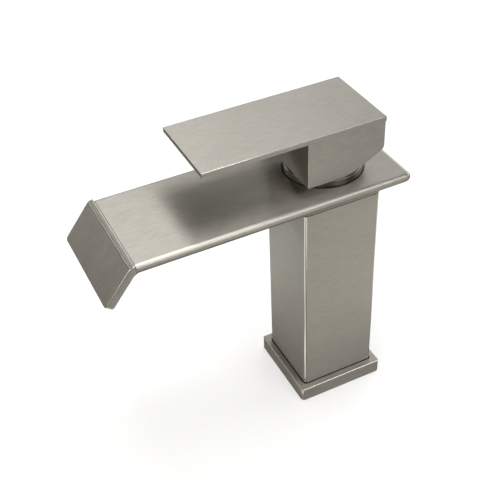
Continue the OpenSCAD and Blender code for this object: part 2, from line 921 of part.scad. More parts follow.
module disc_carrier() {
    socket_r = ball_d / 2 + ball_gap;
    color(plastic)
        difference() {
            intersection() {
                translate([0, disc_rest_y, 0])
                    bore(moving_disc_d / 2, carrier_z, carrier_z + carrier_h);
                translate([-carrier_w / 2, -cartridge_r, carrier_z])
                    cube([carrier_w, cartridge_d, carrier_h]);
            }
            bore(socket_r, carrier_z + carrier_floor, carrier_z + carrier_h + over);
        }
}

// Sleeve that turns in the housing, slotted for the carrier below and the stem above
module rotor() {
    slot_half = stem_w / 2 + stem_gap;
    ball_room = ball_d / 2 + ball_gap;
    top = pivot_z + rotor_top;
    rise = rotor_top + rotor_neck_h;
    back = (stem_w / 2) * cos(lift)
         + (rise + (stem_w / 2) * sin(lift)) * tan(lift) + stem_gap;
    front = (stem_w / 2) * cos(lift) + stem_foot * sin(lift) + stem_gap;
    color(plastic)
        difference() {
            union() {
                bore(rotor_r, carrier_z + ball_gap, top);
                bore(rotor_neck_d / 2, carrier_z + ball_gap, top + rotor_neck_h);
            }
            translate([-carrier_w / 2 - rotor_gap / 2, -cartridge_r, carrier_z])
                cube([carrier_w + rotor_gap, cartridge_d, carrier_h + rotor_gap]);
            translate([-slot_half, -front, carrier_z])
                cube([2 * slot_half, front + back, dome_top - carrier_z + rise]);
            translate([-slot_half, -travel - ball_room, carrier_z])
                cube([2 * slot_half, travel + 2 * ball_room,
                      pivot_z - arm_len * cos(lift) + ball_room - carrier_z]);
            translate([-rotor_r - over, 0, pivot_z])
                rotate([0, 90, 0])
                    cylinder(h = 2 * (rotor_r + over), r = pin_r);
        }
}

module lift_pin() {
    half = rotor_r - rotor_gap;
    color(steel)
        translate([-half, 0, pivot_z])
            rotate([0, 90, 0])
                cylinder(h = 2 * half, r = pin_r);
}

module stem() {
    ball_z = pivot_z - arm_len;
    color(brass)
        difference() {
            union() {
                translate([0, 0, ball_z])
                    sphere(ball_d / 2);
                bore(rod_d / 2, ball_z, pivot_z);
                translate([-stem_w / 2, -stem_w / 2, pivot_z - stem_foot])
                    cube([stem_w, stem_w, stem_foot + stem_h]);
            }
            translate([-stem_w, 0, pivot_z])
                rotate([0, 90, 0])
                    cylinder(h = 2 * stem_w, r = pin_r + pin_clearance);
        }
}

module cartridge_housing() {
    groove_mid = ledge_z - oring_t;
    color(plastic)
        difference() {
            union() {
                bore(passage_r, skirt_z, ledge_z);
                bore(cartridge_r, groove_mid - oring_t, ledge_z);
                bore(counterbore_r - cartridge_gap, ledge_z, nut_z);
                bore(dome_r, nut_z, dome_top);
            }
            bore(housing_inner_r, skirt_z - over, dome_top - dome_roof);
            bore(neck_hole_r, skirt_z, dome_top + over);
            ring(cartridge_d, bore_r - oring_t, groove_mid - oring_t / 2, oring_t);
        }
}

module housing_ring() {
    color(rubber)
        translate([0, 0, ledge_z - oring_t])
            rotate_extrude()
                translate([bore_r - oring_t / 2, 0])
                    circle(oring_t / 2);
}

module cartridge_nut() {
    color(brass)
        difference() {
            ring(nut_r, dome_r + cartridge_gap, nut_z, nut_h);
            for (turn = [0, 90])
                rotate([0, 0, turn])
                    translate([-nut_slot_w / 2, -cartridge_d, nut_top - nut_slot_depth])
                        cube([nut_slot_w, 2 * cartridge_d, nut_h]);
        }
}

// Side outline of the block: level underside, long round into the ramp, upright rear
module block_form() {
    half = handle_w / 2 - block_inset;
    rear = block_back - block_inset;
    ramp_end = block_z + (rear - ramp_y) * tan(ramp_angle);
    top = lever_z + lever_t / 2;
    intersection() {
        along_x(2 * half)
            polygon(rounded([
                [-block_front, block_z, block_edge_r],
                [ramp_y, block_z, ramp_r],
                [rear, ramp_end, rear_r],
                [rear, top, 0],
                [-block_front, top, 0]]));
        translate([0, 0, block_z - over])
            linear_extrude(block_h + over)
                polygon(rectangle([-half, -block_front], [half, rear], even(block_edge_r)));
        along_y(-lever_reach, block_back)
            polygon(rectangle([-half, block_z], [half, lever_z + block_edge_r / 2],
                              [block_edge_r / 2, block_edge_r / 2, block_edge_r, block_edge_r]));
    }
}

// Fillet in the corner between the block's front and the lever plate, between its side edges
module block_fillet() {
    foot = [-block_front, lever_z - 2 * block_fillet_r];
    corner_point = [-block_front, lever_z, block_fillet_r];
    tip_point = [-block_front - 2 * block_fillet_r, lever_z];
    inner = [block_edge_r, 0];
    arc = corner(foot, corner_point, tip_point);
    along_x(handle_w - 2 * (block_inset + block_edge_r))
        polygon(concat([arc[0] + inner], arc,
                       [arc[corner_steps] + [0, lever_t / 2],
                        [inner[0] - block_front, lever_z + lever_t / 2]]));
}

module handle() {
    socket_half = stem_w / 2 + socket_fit;
    socket_top = pivot_z + stem_h + snug;
    color(nickel)
        difference() {
            union() {
                slab([-handle_w / 2, -lever_reach, lever_z], [handle_w / 2, block_back, lever_top],
                     lever_corner_r, lever_edge_r, lever_edge_r);
                block_form();
                block_fillet();
            }
            bore(hollow_d / 2, block_z - over, pivot_z + hollow_h);
            translate([-socket_half, -socket_half, pivot_z])
                cube([2 * socket_half, 2 * socket_half, socket_top - pivot_z]);
            translate([0, block_back + over, pivot_z + set_screw_z])
                rotate([90, 0, 0])
                    cylinder(h = block_back + over, r = set_screw_d / 2 + snug);
            translate([0, block_back + over, pivot_z + set_screw_z])
                rotate([90, 0, 0])
                    cylinder(h = plug_len + over, r = plug_d / 2 + snug);
        }
}

module set_screw() {
    color(steel)
        translate([0, stem_w / 2, pivot_z + set_screw_z])
            rotate([-90, 0, 0])
                difference() {
                    cylinder(h = set_screw_len, r = set_screw_d / 2);
                    translate([0, 0, set_screw_len / 2])
                        cylinder(h = set_screw_len, r = hex_d / 2, $fn = 6);
                }
}

module set_screw_plug() {
    color(nickel)
        translate([0, block_back - block_inset, pivot_z + set_screw_z])
            rotate([90, 0, 0])
                cylinder(h = plug_len - block_inset, r = plug_d / 2);
}

deck_gasket();
base_flange();
foot_seal();
column_body();
neck_seal();
spout_tray();
spout_lip();
cord_seal();
spout_cover();
cover_screws();
collar_washer();
bonnet();
cartridge_base();
port_seals();
fixed_disc();
moving_disc();
disc_carrier();
rotor();
lift_pin();
stem();
cartridge_housing();
housing_ring();
cartridge_nut();
handle();
set_screw();
set_screw_plug();
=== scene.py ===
# %% [markdown]
# # A waterfall basin faucet in brushed nickel
# The frame holds every piece of the faucet as it was constructed, in metres. This lesson
# gives the pieces their finishes, and builds the camera, the floor and the light of a small
# product studio around them.

# %% Load the frame
import json
import math
import bmesh
import bpy
from mathutils import Matrix, Vector


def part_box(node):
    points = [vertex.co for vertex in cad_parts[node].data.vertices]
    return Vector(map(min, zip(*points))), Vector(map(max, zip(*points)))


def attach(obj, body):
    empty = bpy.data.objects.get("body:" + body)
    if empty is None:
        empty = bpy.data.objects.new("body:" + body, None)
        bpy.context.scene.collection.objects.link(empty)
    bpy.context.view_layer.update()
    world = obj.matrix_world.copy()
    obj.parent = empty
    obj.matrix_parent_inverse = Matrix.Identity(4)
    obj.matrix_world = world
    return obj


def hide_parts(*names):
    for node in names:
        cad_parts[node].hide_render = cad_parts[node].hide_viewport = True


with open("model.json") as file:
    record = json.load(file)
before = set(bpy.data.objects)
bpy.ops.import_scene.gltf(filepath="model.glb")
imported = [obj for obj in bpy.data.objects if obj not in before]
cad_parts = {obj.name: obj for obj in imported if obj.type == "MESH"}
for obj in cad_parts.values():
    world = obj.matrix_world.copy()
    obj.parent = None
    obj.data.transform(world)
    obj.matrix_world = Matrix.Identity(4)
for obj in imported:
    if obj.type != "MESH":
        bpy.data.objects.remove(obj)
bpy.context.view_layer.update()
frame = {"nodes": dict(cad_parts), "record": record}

nodes = frame["nodes"]
MM = 0.001

# %% [markdown]
# ## The camera
# The camera stands in front of the spout, to its right and above it. A lens of 69 mm at about
# half a metre keeps the strong perspective of the picture: upright lines lean together
# towards the foot. The camera is turned a few degrees about its own axis as well.

# %% Camera
def look_axes(azimuth, elevation, roll):
    """Right, up and back axes of a camera that looks at the object from that direction."""
    az, el, ro = (math.radians(v) for v in (azimuth, elevation, roll))
    back = Vector((math.sin(az) * math.cos(el), -math.cos(az) * math.cos(el), math.sin(el)))
    side = Vector((math.cos(az), math.sin(az), 0.0))
    above = back.cross(side)
    right = side * math.cos(ro) + above * math.sin(ro)
    up = above * math.cos(ro) - side * math.sin(ro)
    return right, up, back


# Degrees and the lens, then the camera's place in millimetres from the middle of the foot.
camera_heading, camera_height, camera_roll, lens_mm = 66.026, 38.907, -3.244, 68.849
distance, shift_left, shift_up = 532.866, 46.242, 68.433
right, up, back = look_axes(camera_heading, camera_height, camera_roll)
camera_data = bpy.data.cameras.new("camera")
camera_data.lens = lens_mm
camera_data.sensor_width = 36.0
camera_data.clip_start = 0.01
camera = bpy.data.objects.new("camera", camera_data)
bpy.context.scene.collection.objects.link(camera)
place = (back * distance - right * shift_left + up * shift_up) * MM
camera.matrix_world = Matrix.Translation(place) @ Matrix((right, up, back)).transposed().to_4x4()
bpy.context.scene.camera = camera
print("camera at", tuple(round(v, 3) for v in place))

# %% [markdown]
# ## Node helpers
# Each finish is a small tree of shader nodes. Two helpers keep the cells short: one adds a
# node, sets it and links its inputs, and one starts a group that several finishes can share.

# %% Node helpers
def add(tree, kind, inputs=None, **settings):
    """Add one node, set its settings, and fill or link its inputs."""
    made = tree.nodes.new(kind)
    for name, value in settings.items():
        setattr(made, name, value)
    for name, value in (inputs or {}).items():
        socket = made.inputs[name]
        if isinstance(value, bpy.types.NodeSocket):
            tree.links.new(value, socket)
        else:
            socket.default_value = value
    return made


def group_of(name, inputs, outputs):
    """An empty shader group with named inputs and outputs."""
    tree = bpy.data.node_groups.new(name, "ShaderNodeTree")
    for socket, kind, value in inputs:
        made = tree.interface.new_socket(socket, in_out="INPUT", socket_type=kind)
        if value is not None:
            made.default_value = value
    for socket, kind in outputs:
        tree.interface.new_socket(socket, in_out="OUTPUT", socket_type=kind)
    return tree, tree.nodes.new("NodeGroupInput"), tree.nodes.new("NodeGroupOutput")


print("helpers:", add.__name__, group_of.__name__)

# %% [markdown]
# ## The brushed grain
# The nickel plating is brushed with a fine belt, which leaves parallel scratches. They can be
# drawn as noise that is stretched along the belt. Tops and slopes are brushed along the
# length of the faucet, and upright faces along the horizontal, so the group first finds the
# directions along and across the belt from the way that the surface faces. Two sizes of
# scratch and a soft cloud are laid over each other. A last output marks rounded edges.

# %% Brushed grain group
grain, grain_in, grain_out = group_of(
    "brushed grain",
    [("Position", "NodeSocketVector", None), ("Facing", "NodeSocketVector", None),
     ("Fineness", "NodeSocketFloat", 1.0)],
    [("Fine", "NodeSocketFloat"), ("Coarse", "NodeSocketFloat"), ("Cloud", "NodeSocketFloat"),
     ("Edge", "NodeSocketFloat")])
place_in, facing_in = grain_in.outputs["Position"], grain_in.outputs["Facing"]


def vector_math(operation, *values, tree=grain):
    """A vector maths node. Its vector or its value is taken, by what it works out."""
    made = add(tree, "ShaderNodeVectorMath", dict(enumerate(values)), operation=operation)
    return made.outputs["Value"] if operation in ("DOT_PRODUCT", "LENGTH") else made.outputs["Vector"]


def plain_math(operation, *values, tree=grain):
    """A maths node's value."""
    return add(tree, "ShaderNodeMath", dict(enumerate(values)), operation=operation).outputs[0]


def upright(facing, tree):
    """One where the surface stands upright, zero on tops and slopes."""
    steep = add(tree, "ShaderNodeSeparateXYZ", {0: facing}).outputs["Z"]
    return plain_math("LESS_THAN", plain_math("ABSOLUTE", steep, tree=tree), 0.3, tree=tree)


def across_belt(facing, tree):
    """The direction across the scratches: upwards on upright faces, sideways on the others."""
    return add(tree, "ShaderNodeMix", {0: upright(facing, tree), 4: (1.0, 0.0, 0.0), 5: (0.0, 0.0, 1.0)},
               data_type="VECTOR").outputs[1]


along = vector_math("NORMALIZE", vector_math("CROSS_PRODUCT", facing_in, across_belt(facing_in, grain)))
across = vector_math("CROSS_PRODUCT", along, facing_in)
run = vector_math("DOT_PRODUCT", place_in, along)
step = vector_math("DOT_PRODUCT", place_in, across)
depth = vector_math("DOT_PRODUCT", place_in, facing_in)


def scratches(name, stretch, scale, detail):
    """Noise drawn out along the belt, put out under this name."""
    point = add(grain, "ShaderNodeCombineXYZ", {0: step, 1: plain_math("MULTIPLY", run, stretch), 2: depth})
    size = plain_math("MULTIPLY", grain_in.outputs["Fineness"], scale)
    noise = add(grain, "ShaderNodeTexNoise", {"Vector": point.outputs[0], "Scale": size,
                                             "Detail": detail, "Roughness": 0.65})
    grain.links.new(noise.outputs[0], grain_out.inputs[name])


scratches("Fine", 0.05, 2600.0, 2.0)
scratches("Coarse", 0.11, 1300.0, 3.0)
scratches("Cloud", 0.4, 90.0, 2.0)
print("grain group:", len(grain.nodes), "nodes")

# %% [markdown]
# A face counts as flat where its direction is one of those that the faucet's flat faces have:
# along an axis, or square to the lip, to the band above it or to the ramp under the handle.
# Everything else is a rounded edge. Edges come out of the polishing smoother than the faces.

# %% Mark the rounded edges
apart = add(grain, "ShaderNodeSeparateXYZ", {0: facing_in})
flatness = [plain_math("ABSOLUTE", apart.outputs[axis]) for axis in range(3)]
lip_face, band_face, ramp_face = (0.0, -0.7826, 0.6225), (0.0, -0.2679, 0.9635), (0.0, 0.4524, -0.8918)
for slope in (lip_face, band_face, ramp_face):
    flatness.append(plain_math("ABSOLUTE", vector_math("DOT_PRODUCT", facing_in, slope)))
flattest = flatness[0]
for one in flatness[1:]:
    flattest = plain_math("MAXIMUM", flattest, one)
rounded, flat = 0.978, 0.996
edge = add(grain, "ShaderNodeMapRange", {0: flattest, 1: rounded, 2: flat, 3: 1.0, 4: 0.0},
           interpolation_type="SMOOTHSTEP")
grain.links.new(edge.outputs[0], grain_out.inputs["Edge"])
print("flat directions:", len(flatness))

# %% [markdown]
# ## Brushed nickel
# The scratches spread a reflection across them and hardly along them, which gives brushed
# metal its soft bands. The shader's anisotropy does that, once its tangent points across the
# scratches. The grain also varies the colour, the roughness and, a little, the relief. It
# fades out on rounded edges, which the belt only brushes past. Edges that are seen nearly edge
# on are painted darker by their angle to the view: painted shade. The three nickels differ in
# the painted light on their rounded edges: a bright painted highlight on most pieces, a softer
# one on the spout's cover, and painted shade along the side of the spout's tray.

# %% Brushed nickel
def between(tree, value, low, high):
    """Spread a noise value from its usual range over the range from low to high."""
    return add(tree, "ShaderNodeMapRange", {0: value, 1: 0.3, 2: 0.7, 3: low, 4: high}).outputs[0]


GRAIN_FINENESS, EDGE_CALM, RIM_SHADE = 1.25, 0.9, 0.85


def nickel(name, colour, rough, edge_rough, edge_painted_light):
    """Brushed nickel plating, with its own roughness on rounded edges and its own painted light there,
    lighter for a highlight, darker for shade.
    """
    material = bpy.data.materials.new(name)
    material.use_nodes = True
    tree = material.node_tree

    def times(first, second):
        return plain_math("MULTIPLY", first, second, tree=tree)

    def times_plus(value, factor, offset):
        return plain_math("MULTIPLY_ADD", value, factor, offset, tree=tree)

    shader = tree.nodes["Principled BSDF"]
    shader.inputs["Metallic"].default_value = 1.0
    shader.inputs["Anisotropic"].default_value = 0.9
    where = add(tree, "ShaderNodeTexCoord")
    brushed = add(tree, "ShaderNodeGroup", node_tree=grain)
    tree.links.new(where.outputs["Object"], brushed.inputs["Position"])
    tree.links.new(where.outputs["Normal"], brushed.inputs["Facing"])
    brushed.inputs["Fineness"].default_value = GRAIN_FINENESS
    fine, coarse, cloud, edge = (brushed.outputs[k] for k in ("Fine", "Coarse", "Cloud", "Edge"))
    calm = times_plus(edge, -EDGE_CALM, 1.0)
    fine, coarse = (times_plus(plain_math("SUBTRACT", value, 0.5, tree=tree), calm, 0.5)
                    for value in (fine, coarse))
    tone = times(between(tree, fine, 0.9, 1.1), between(tree, coarse, 0.94, 1.06))
    tone = times(tone, between(tree, cloud, 0.975, 1.025))
    # Rounded edges are painted lighter as a painted highlight, or darker as painted shade where the factor is
    # below zero.
    tone = times(tone, times_plus(edge, edge_painted_light, 1.0))
    # Edges seen nearly edge on are darkened by their angle to the view: painted shade.
    turned_away = add(tree, "ShaderNodeLayerWeight", {0: 0.5}).outputs["Facing"]
    rim = add(tree, "ShaderNodeMapRange", {0: turned_away, 1: 0.7, 2: 0.95}).outputs[0]
    tone = times(tone, times_plus(times(edge, rim), -RIM_SHADE, 1.0))
    base = add(tree, "ShaderNodeVectorMath", {0: colour, "Scale": tone}, operation="SCALE")
    tree.links.new(base.outputs[0], shader.inputs["Base Color"])
    wander = between(tree, coarse, rough - 0.04, rough + 0.04)
    roughness = add(tree, "ShaderNodeMix", {0: edge, 2: wander, 3: edge_rough}, data_type="FLOAT")
    tree.links.new(roughness.outputs[0], shader.inputs["Roughness"])
    bump = add(tree, "ShaderNodeBump", {"Height": fine, "Distance": 0.00001, "Strength": 0.2})
    tree.links.new(bump.outputs[0], shader.inputs["Normal"])
    turned = add(tree, "ShaderNodeVectorTransform", {0: across_belt(where.outputs["Normal"], tree)},
                 vector_type="VECTOR", convert_from="OBJECT", convert_to="WORLD")
    tree.links.new(turned.outputs[0], shader.inputs["Tangent"])
    return material


NICKEL = (0.42, 0.4, 0.358)
# Painted light on rounded edges: a bright painted highlight on most pieces, a softer one on the cover, and
# painted shade along the side of the tray.
brushed_nickel = nickel("brushed nickel", NICKEL, rough=0.45, edge_rough=0.16, edge_painted_light=0.4)
soft_edged_nickel = nickel("soft edged nickel", NICKEL, rough=0.45, edge_rough=0.33, edge_painted_light=0.12)
tray_nickel = nickel("tray nickel", NICKEL, rough=0.45, edge_rough=0.36, edge_painted_light=-0.55)
print("nickel:", NICKEL, "in", [m.name for m in (brushed_nickel, soft_edged_nickel, tray_nickel)])

# %% [markdown]
# ## Turned metal
# The bonnet, the nut, the stem and the screws are turned on a lathe. The tool leaves fine
# rings, so the pattern only changes with the distance from the axis and with the height. The
# bonnet is plated as it comes from the lathe, and its colour is set darker than the brushed
# pieces: painted shade for the dark under the handle's block.

# %% Turned rings group
rings, rings_in, rings_out = group_of(
    "turned rings", [("Position", "NodeSocketVector", None), ("Fineness", "NodeSocketFloat", 1.0)],
    [("Rings", "NodeSocketFloat"), ("Stain", "NodeSocketFloat")])
flat_place = vector_math("MULTIPLY", rings_in.outputs["Position"], (1.0, 1.0, 0.0), tree=rings)
height = add(rings, "ShaderNodeSeparateXYZ", {0: rings_in.outputs["Position"]}).outputs["Z"]
reach = vector_math("LENGTH", flat_place, tree=rings)
lathe = add(rings, "ShaderNodeCombineXYZ", {0: reach, 1: height})
ring_size = plain_math("MULTIPLY", rings_in.outputs["Fineness"], 3200.0, tree=rings)
ring_noise = add(rings, "ShaderNodeTexNoise", {"Vector": lathe.outputs[0], "Scale": ring_size, "Detail": 2.0})
stain = add(rings, "ShaderNodeTexNoise", {"Vector": rings_in.outputs["Position"],
                                          "Scale": 140.0, "Detail": 3.0})
rings.links.new(ring_noise.outputs[0], rings_out.inputs["Rings"])
rings.links.new(stain.outputs[0], rings_out.inputs["Stain"])


def turned_metal(name, colour, rough, fineness=1.0):
    """Metal with fine lathe rings round the upright axis."""
    material = bpy.data.materials.new(name)
    material.use_nodes = True
    tree = material.node_tree
    shader = tree.nodes["Principled BSDF"]
    shader.inputs["Metallic"].default_value = 1.0
    where = add(tree, "ShaderNodeTexCoord")
    turned = add(tree, "ShaderNodeGroup", node_tree=rings)
    tree.links.new(where.outputs["Object"], turned.inputs["Position"])
    turned.inputs["Fineness"].default_value = fineness
    ring, spot = turned.outputs["Rings"], turned.outputs["Stain"]
    tone = plain_math("MULTIPLY", between(tree, ring, 0.9, 1.1), between(tree, spot, 0.94, 1.06), tree=tree)
    base = add(tree, "ShaderNodeVectorMath", {0: colour, "Scale": tone}, operation="SCALE")
    tree.links.new(base.outputs[0], shader.inputs["Base Color"])
    tree.links.new(between(tree, spot, rough - 0.04, rough + 0.06), shader.inputs["Roughness"])
    bump = add(tree, "ShaderNodeBump", {"Height": ring, "Distance": 0.00002, "Strength": 0.3})
    tree.links.new(bump.outputs[0], shader.inputs["Normal"])
    return material


# The bonnet's colour is darker than the brushed nickel as painted shade, for the dark under the handle's
# block.
shade_darkened_nickel = turned_metal("turned nickel", (0.2, 0.188, 0.162), 0.2)
turned_brass = turned_metal("turned brass", (0.72, 0.6, 0.36), 0.28)
screw_steel = turned_metal("screw steel", (0.7, 0.7, 0.72), 0.3, fineness=0.6)
print("turned metals:", shade_darkened_nickel.name, turned_brass.name, screw_steel.name)

# %% [markdown]
# ## Rubber, plastic and ceramic
# These never take a scratch pattern. Moulded parts have a fine, even speckle from the surface
# of their mould. Rubber is dull and dark, the cartridge is pale plastic, and the discs that
# meter the water are ceramic, lapped until they shine.

# %% Speckle group and moulded finishes
speckle, speckle_in, speckle_out = group_of(
    "mould speckle", [("Position", "NodeSocketVector", None), ("Size", "NodeSocketFloat", 1.0)],
    [("Speckle", "NodeSocketFloat"), ("Patches", "NodeSocketFloat")])
speck_size = plain_math("DIVIDE", 1.6, speckle_in.outputs["Size"], tree=speckle)
specks = add(speckle, "ShaderNodeTexNoise", {"Vector": speckle_in.outputs["Position"],
                                            "Scale": plain_math("MULTIPLY", speck_size, 1000.0, tree=speckle),
                                            "Detail": 3.0})
patches = add(speckle, "ShaderNodeTexNoise", {"Vector": speckle_in.outputs["Position"],
                                              "Scale": 110.0, "Detail": 2.0})
speckle.links.new(specks.outputs[0], speckle_out.inputs["Speckle"])
speckle.links.new(patches.outputs[0], speckle_out.inputs["Patches"])


def moulded(name, colour, rough, size, relief, gloss=0.5):
    """A moulded or fired finish: an even speckle, with slightly cloudy colour and gloss."""
    material = bpy.data.materials.new(name)
    material.use_nodes = True
    tree = material.node_tree
    shader = tree.nodes["Principled BSDF"]
    shader.inputs["Specular IOR Level"].default_value = gloss
    where = add(tree, "ShaderNodeTexCoord")
    dotted = add(tree, "ShaderNodeGroup", node_tree=speckle)
    tree.links.new(where.outputs["Object"], dotted.inputs["Position"])
    dotted.inputs["Size"].default_value = size
    dots, patch = dotted.outputs["Speckle"], dotted.outputs["Patches"]
    tone = plain_math("MULTIPLY", between(tree, dots, 0.94, 1.06), between(tree, patch, 0.96, 1.04),
                      tree=tree)
    base = add(tree, "ShaderNodeVectorMath", {0: colour, "Scale": tone}, operation="SCALE")
    tree.links.new(base.outputs[0], shader.inputs["Base Color"])
    tree.links.new(between(tree, patch, rough - 0.05, rough + 0.05), shader.inputs["Roughness"])
    bump = add(tree, "ShaderNodeBump", {"Height": dots, "Distance": relief, "Strength": 0.3})
    tree.links.new(bump.outputs[0], shader.inputs["Normal"])
    return material


black_rubber = moulded("black rubber", (0.008, 0.008, 0.008), rough=0.75, size=1.0, relief=0.00005, gloss=0.1)
pale_plastic = moulded("pale plastic", (0.8, 0.79, 0.75), rough=0.45, size=0.8, relief=0.00002)
fired_ceramic = moulded("fired ceramic", (0.86, 0.85, 0.81), rough=0.15, size=0.4, relief=0.000003)
finishes = {"nickel": brushed_nickel, "rubber": black_rubber, "plastic": pale_plastic,
            "ceramic": fired_ceramic, "brass": turned_brass, "steel": screw_steel}
special = {"bonnet": shade_darkened_nickel, "spout_tray": tray_nickel}
slots = {part["node"]: part["material_slot"] for part in frame["record"]["subparts"]}
for name, piece in nodes.items():
    piece.data.materials.clear()
    piece.data.materials.append(special.get(name, finishes[slots[name]]))
print("pieces in each finish:", {slot: list(slots.values()).count(slot) for slot in finishes})

# %% [markdown]
# ## Tools for shaping
# The pieces are shaped in millimetres, as they would be on a bench, and scaled to metres when
# they are finished. Each starts as a cuboid. Planes cut it, and bevels round its edges.

# %% Tools for shaping
def cube_between(low, high):
    """A cuboid from its lowest to its highest corner."""
    bm = bmesh.new()
    bmesh.ops.create_cube(bm, size=1.0)
    bmesh.ops.scale(bm, vec=Vector(high) - Vector(low), verts=bm.verts)
    bmesh.ops.translate(bm, vec=(Vector(low) + Vector(high)) / 2, verts=bm.verts)
    return bm


def cut(bm, point, normal, drop=False):
    """Cut all faces by a plane. With drop, what lies beyond it goes and the cut is closed."""
    made = bmesh.ops.bisect_plane(bm, geom=bm.verts[:] + bm.edges[:] + bm.faces[:],
                                  plane_co=point, plane_no=normal, clear_outer=drop)
    if drop:
        rim = [e for e in made["geom_cut"] if isinstance(e, bmesh.types.BMEdge)]
        bmesh.ops.contextual_create(bm, geom=rim)


def edges_where(bm, test):
    """The edges whose middle m and direction d pass the test."""
    return [e for e in bm.edges
            if test((e.verts[0].co + e.verts[1].co) / 2, (e.verts[1].co - e.verts[0].co).normalized())]


def round_edges(bm, edges, radius, segments):
    """Round these edges with arcs."""
    bmesh.ops.bevel(bm, geom=edges, offset=radius, offset_type="OFFSET", affect="EDGES",
                    segments=segments, profile=0.5, material=-1)


def is_upright(edge_direction):
    """True for an edge that runs up and down."""
    return abs(edge_direction.z) > 0.9


def object_of(bm, name):
    """Scale a finished mesh to metres and make an object of it."""
    bmesh.ops.scale(bm, vec=(MM, MM, MM), verts=bm.verts)
    mesh = bpy.data.meshes.new(name)
    bm.to_mesh(mesh)
    bm.free()
    made = bpy.data.objects.new(name, mesh)
    bpy.context.scene.collection.objects.link(made)
    return made


def settle(piece):
    """Work the piece's modifiers into its mesh."""
    bpy.context.view_layer.update()
    seen = piece.evaluated_get(bpy.context.evaluated_depsgraph_get())
    mesh = bpy.data.meshes.new_from_object(seen)
    mesh.name = piece.name
    piece.modifiers.clear()
    piece.data = mesh


print("tools:", [tool.__name__ for tool in (cube_between, cut, round_edges, object_of, settle)])

# %% [markdown]
# ## The handle
# The lever is a thin plate, and the block under it hides the cartridge. On the real handle
# both are one casting: ground flat, its edges broken with a belt, and a small fillet left in
# the inner corner where the plate meets the front of the block. Here the plate is a cuboid.
# The block is drawn down out of a rectangle that planes have cut into the plate's underside.

# %% Rough shape of the handle
low, high = (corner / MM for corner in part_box("handle"))
plate_thick, side_step, block_front = 2.4, 0.3, -20.0
plate_under = high.z - plate_thick
block_side, block_rear = high.x - side_step, high.y - side_step
handle = cube_between((low.x, low.y, plate_under), high)
for x in (-block_side, block_side):
    cut(handle, (x, 0, 0), (1, 0, 0))
for y in (block_front, block_rear):
    cut(handle, (0, y, 0), (0, 1, 0))
patch = [f for f in handle.faces if f.normal.z < -0.9 and abs(f.calc_center_median().x) < block_side
         and block_front < f.calc_center_median().y < block_rear]
drawn = bmesh.ops.extrude_face_region(handle, geom=patch)
new_verts = [v for v in drawn["geom"] if isinstance(v, bmesh.types.BMVert)]
bmesh.ops.translate(handle, vec=(0, 0, low.z - plate_under), verts=new_verts)
bmesh.ops.delete(handle, geom=[f for f in patch if f.is_valid], context="FACES_ONLY")
print("handle:", len(handle.faces), "faces, block from", round(low.z, 1), "to", round(plate_under, 1))

# %% [markdown]
# The rear of the block is cut away in a ramp, so that it clears the spout when the lever is
# raised. The ramp starts in a long soft bend, and its other end turns up with a small radius.

# %% Ramp under the rear of the block
ramp_start, ramp_angle = 2.4, math.radians(26.9)
start_r, end_r = 20.0, 3.0
cut(handle, (0, ramp_start, low.z), (0, math.sin(ramp_angle), -math.cos(ramp_angle)), drop=True)
ramp_end = low.z + (block_rear - ramp_start) * math.tan(ramp_angle)
for y, z, radius, turn in ((ramp_start, low.z, start_r, ramp_angle),
                           (block_rear, ramp_end, end_r, math.radians(90) - ramp_angle)):
    crease = edges_where(handle, lambda m, d: abs(d.x) > 0.9 and abs(m.y - y) < 0.05 and abs(m.z - z) < 0.05)
    round_edges(handle, crease, radius * math.tan(turn / 2), 10)
print("ramp from", ramp_start, "to", round(block_rear, 1), "ends at", round(ramp_end, 2))

# %% [markdown]
# Every edge is then broken with the radius that the belt leaves there. One bevel modifier
# does all of them, and a weight on each edge says how wide it is: the fillet in the inner
# corner is the widest, and the step between block and plate is hardly touched.

# %% Edge radii of the handle
FULL_WEIGHT_WIDTH = 1.4
weight = handle.edges.layers.float.new("bevel_weight_edge")


def break_edges(radius, test):
    """Give the edges that pass the test this bevel width, in millimetres."""
    for edge in edges_where(handle, test):
        edge[weight] = radius / FULL_WEIGHT_WIDTH


def at_side(m):
    """True on the left and right sides of the plate."""
    return abs(m.x) > high.x - 0.05


def at_end(m):
    """True on the front and rear ends of the plate."""
    return m.y < low.y + 0.05 or m.y > high.y - 0.05


def on_underside(m):
    """True in the plane of the plate's underside."""
    return abs(m.z - plate_under) < 0.01


def below(m):
    """True on the block, below the plate."""
    return m.z < plate_under - 0.05


break_edges(0.7, lambda m, d: m.z > high.z - 0.01 and (at_side(m) or at_end(m)))
break_edges(0.7, lambda m, d: on_underside(m) and (at_side(m) or at_end(m)) and m.y < block_front)
break_edges(0.12, lambda m, d: on_underside(m) and (at_side(m) or at_end(m)) and m.y > block_front)
break_edges(1.0, lambda m, d: is_upright(d) and at_side(m) and at_end(m))
break_edges(0.8, lambda m, d: below(m) and is_upright(d) and abs(m.x) > block_side - 0.05)
break_edges(0.7, lambda m, d: below(m) and not is_upright(d) and abs(m.x) > block_side - 0.05)
break_edges(0.8, lambda m, d: below(m) and abs(d.x) > 0.9 and m.y < block_front + 0.05)
break_edges(1.2, lambda m, d: on_underside(m) and abs(d.x) > 0.9 and abs(m.y - block_front) < 0.01
            and abs(m.x) < block_side)
bmesh.ops.recalc_face_normals(handle, faces=handle.faces[:])
lever = object_of(handle, "lever_handle")
rounding = lever.modifiers.new("edge radii", "BEVEL")
rounding.width = FULL_WEIGHT_WIDTH * MM
rounding.segments = 6
rounding.limit_method = "WEIGHT"
rounding.use_clamp_overlap = True
settle(lever)
print("handle with its edges broken:", len(lever.data.polygons), "faces")

# %% [markdown]
# The underside holds a round hollow that turns over the bonnet, and above it the square
# socket for the stem. The set screw comes in from the rear. They would be drilled and broached,
# and here cutters of the same shapes are taken away with boolean modifiers.

